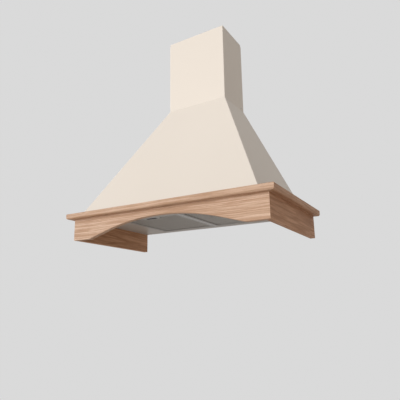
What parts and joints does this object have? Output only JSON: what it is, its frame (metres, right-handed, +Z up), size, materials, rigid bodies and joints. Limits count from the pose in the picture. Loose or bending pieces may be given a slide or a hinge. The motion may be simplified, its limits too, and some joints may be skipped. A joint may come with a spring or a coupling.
{
  "type": "wall-mounted range hood with oak frame",
  "caption": "Wall-mounted range hood: painted metal canopy and telescopic chimney over an oak cornice and arched valance, with grease filters and blower.",
  "frame": {"origin": "centre of the four wall fixing holes in the back panel, on the wall plane", "axes": "+Y points into the wall, +X to the right seen from the room, +Z up"},
  "size_m": [0.9, 0.508, 0.967],
  "materials": {
    "oak": "matt oiled oak",
    "beech": "plain",
    "painted_sheet": "matt powder coat",
    "grey_sheet": "satin",
    "galvanised": "galvanised",
    "filter_aluminium": "satin",
    "filter_mesh": "expanded mesh",
    "bright_steel": "satin",
    "screw_steel": "zinc plated",
    "chrome_ring": "satin chrome",
    "lamp_glass": "frosted",
    "black_plastic": "fine grain",
    "grey_plastic": "moulded",
    "white_plastic": "moulded",
    "rubber": "matt",
    "motor_can": "black paint"
  },
  "bodies": {
    "hood": {"valance_front": "oak", "side_board_left": "oak", "side_board_right": "oak", "cornice_front": "oak", "cornice_left": "oak", "cornice_right": "oak", "corner_blocks": "beech", "cornice_dowels": "beech", "canopy_front": "painted_sheet", "canopy_left": "painted_sheet", "canopy_right": "painted_sheet", "lower_chimney": "painted_sheet", "chimney_wall_strip": "galvanised", "wood_screws": "screw_steel", "sheet_metal_screws": "screw_steel", "back_panel": "galvanised", "underside_panel": "grey_sheet", "centre_rail": "bright_steel", "lamp_can_left": "filter_aluminium", "lamp_can_right": "filter_aluminium", "lamp_bezel_left": "chrome_ring", "lamp_bezel_right": "chrome_ring", "lamp_lens_left": "lamp_glass", "lamp_lens_right": "lamp_glass", "control_plate": "black_plastic", "switch_box": "black_plastic", "blower_housing_left": "white_plastic", "blower_housing_right": "white_plastic", "outlet_collar": "black_plastic", "flap_pin": "screw_steel", "motor": "motor_can", "motor_bracket": "galvanised", "blower_brackets": "galvanised", "rubber_mounts": "rubber", "terminal_box": "white_plastic", "terminal_lid": "white_plastic", "cable_gland": "grey_plastic", "capacitor": "white_plastic"},
    "upper_chimney": {"upper_chimney": "painted_sheet", "ceiling_bracket": "galvanised", "ceiling_bracket_screws": "screw_steel"},
    "filter_left": {"filter_frame_left": "filter_aluminium", "filter_mesh_left": "filter_mesh", "latch_plate_left": "filter_aluminium"},
    "filter_right": {"filter_frame_right": "filter_aluminium", "filter_mesh_right": "filter_mesh", "latch_plate_right": "filter_aluminium"},
    "latch_left": {"filter_latch_left": "grey_plastic"},
    "latch_right": {"filter_latch_right": "grey_plastic"},
    "rotor": {"wheel_blades": "galvanised", "wheel_rings": "galvanised", "wheel_disc": "galvanised", "motor_shaft": "bright_steel"},
    "flap_left": {"flap_left": "black_plastic"},
    "flap_right": {"flap_right": "black_plastic"},
    "button_light": {"button_light": "grey_plastic"},
    "button_off": {"button_off": "grey_plastic"},
    "button_low": {"button_low": "grey_plastic"},
    "button_medium": {"button_medium": "grey_plastic"},
    "button_high": {"button_high": "grey_plastic"}
  },
  "joints": [
    {"name": "upper_chimney_slide", "type": "slide", "parent": "hood", "child": "upper_chimney", "axis": [0, 0, 1], "range_m": [0, 0.26]},
    {"name": "filter_left_drop", "type": "hinge", "parent": "hood", "child": "filter_left", "pos_m": [0, -0.0405, -0.2197], "axis": [1, 0, 0], "range_deg": [0, 80]},
    {"name": "latch_left_slide", "type": "slide", "parent": "filter_left", "child": "latch_left", "axis": [0, 1, 0], "range_m": [0, 0.006], "stiffness_N_per_m": 400, "springref_m": -0.004},
    {"name": "filter_right_drop", "type": "hinge", "parent": "hood", "child": "filter_right", "pos_m": [0, -0.0405, -0.2197], "axis": [1, 0, 0], "range_deg": [0, 80]},
    {"name": "latch_right_slide", "type": "slide", "parent": "filter_right", "child": "latch_right", "axis": [0, 1, 0], "range_m": [0, 0.006], "stiffness_N_per_m": 400, "springref_m": -0.004},
    {"name": "impeller_spin", "type": "hinge", "parent": "hood", "child": "rotor", "pos_m": [0, -0.165, 0.07], "axis": [1, 0, 0], "continuous": true},
    {"name": "flap_left_lift", "type": "hinge", "parent": "hood", "child": "flap_left", "pos_m": [0, -0.095, 0.267], "axis": [0, 1, 0], "range_deg": [0, 72]},
    {"name": "flap_right_lift", "type": "hinge", "parent": "hood", "child": "flap_right", "pos_m": [0, -0.095, 0.267], "axis": [0, -1, 0], "range_deg": [0, 72]},
    {"name": "button_light_press", "type": "slide", "parent": "hood", "child": "button_light", "axis": [0, 0, 1], "range_m": [0, 0.0018], "stiffness_N_per_m": 300, "springref_m": -0.001},
    {"name": "button_off_press", "type": "slide", "parent": "hood", "child": "button_off", "axis": [0, 0, 1], "range_m": [0, 0.0018], "stiffness_N_per_m": 300, "springref_m": -0.001},
    {"name": "button_low_press", "type": "slide", "parent": "hood", "child": "button_low", "axis": [0, 0, 1], "range_m": [0, 0.0018], "stiffness_N_per_m": 300, "springref_m": -0.001},
    {"name": "button_medium_press", "type": "slide", "parent": "hood", "child": "button_medium", "axis": [0, 0, 1], "range_m": [0, 0.0018], "stiffness_N_per_m": 300, "springref_m": -0.001},
    {"name": "button_high_press", "type": "slide", "parent": "hood", "child": "button_high", "axis": [0, 0, 1], "range_m": [0, 0.0018], "stiffness_N_per_m": 300, "springref_m": -0.001}
  ]
}
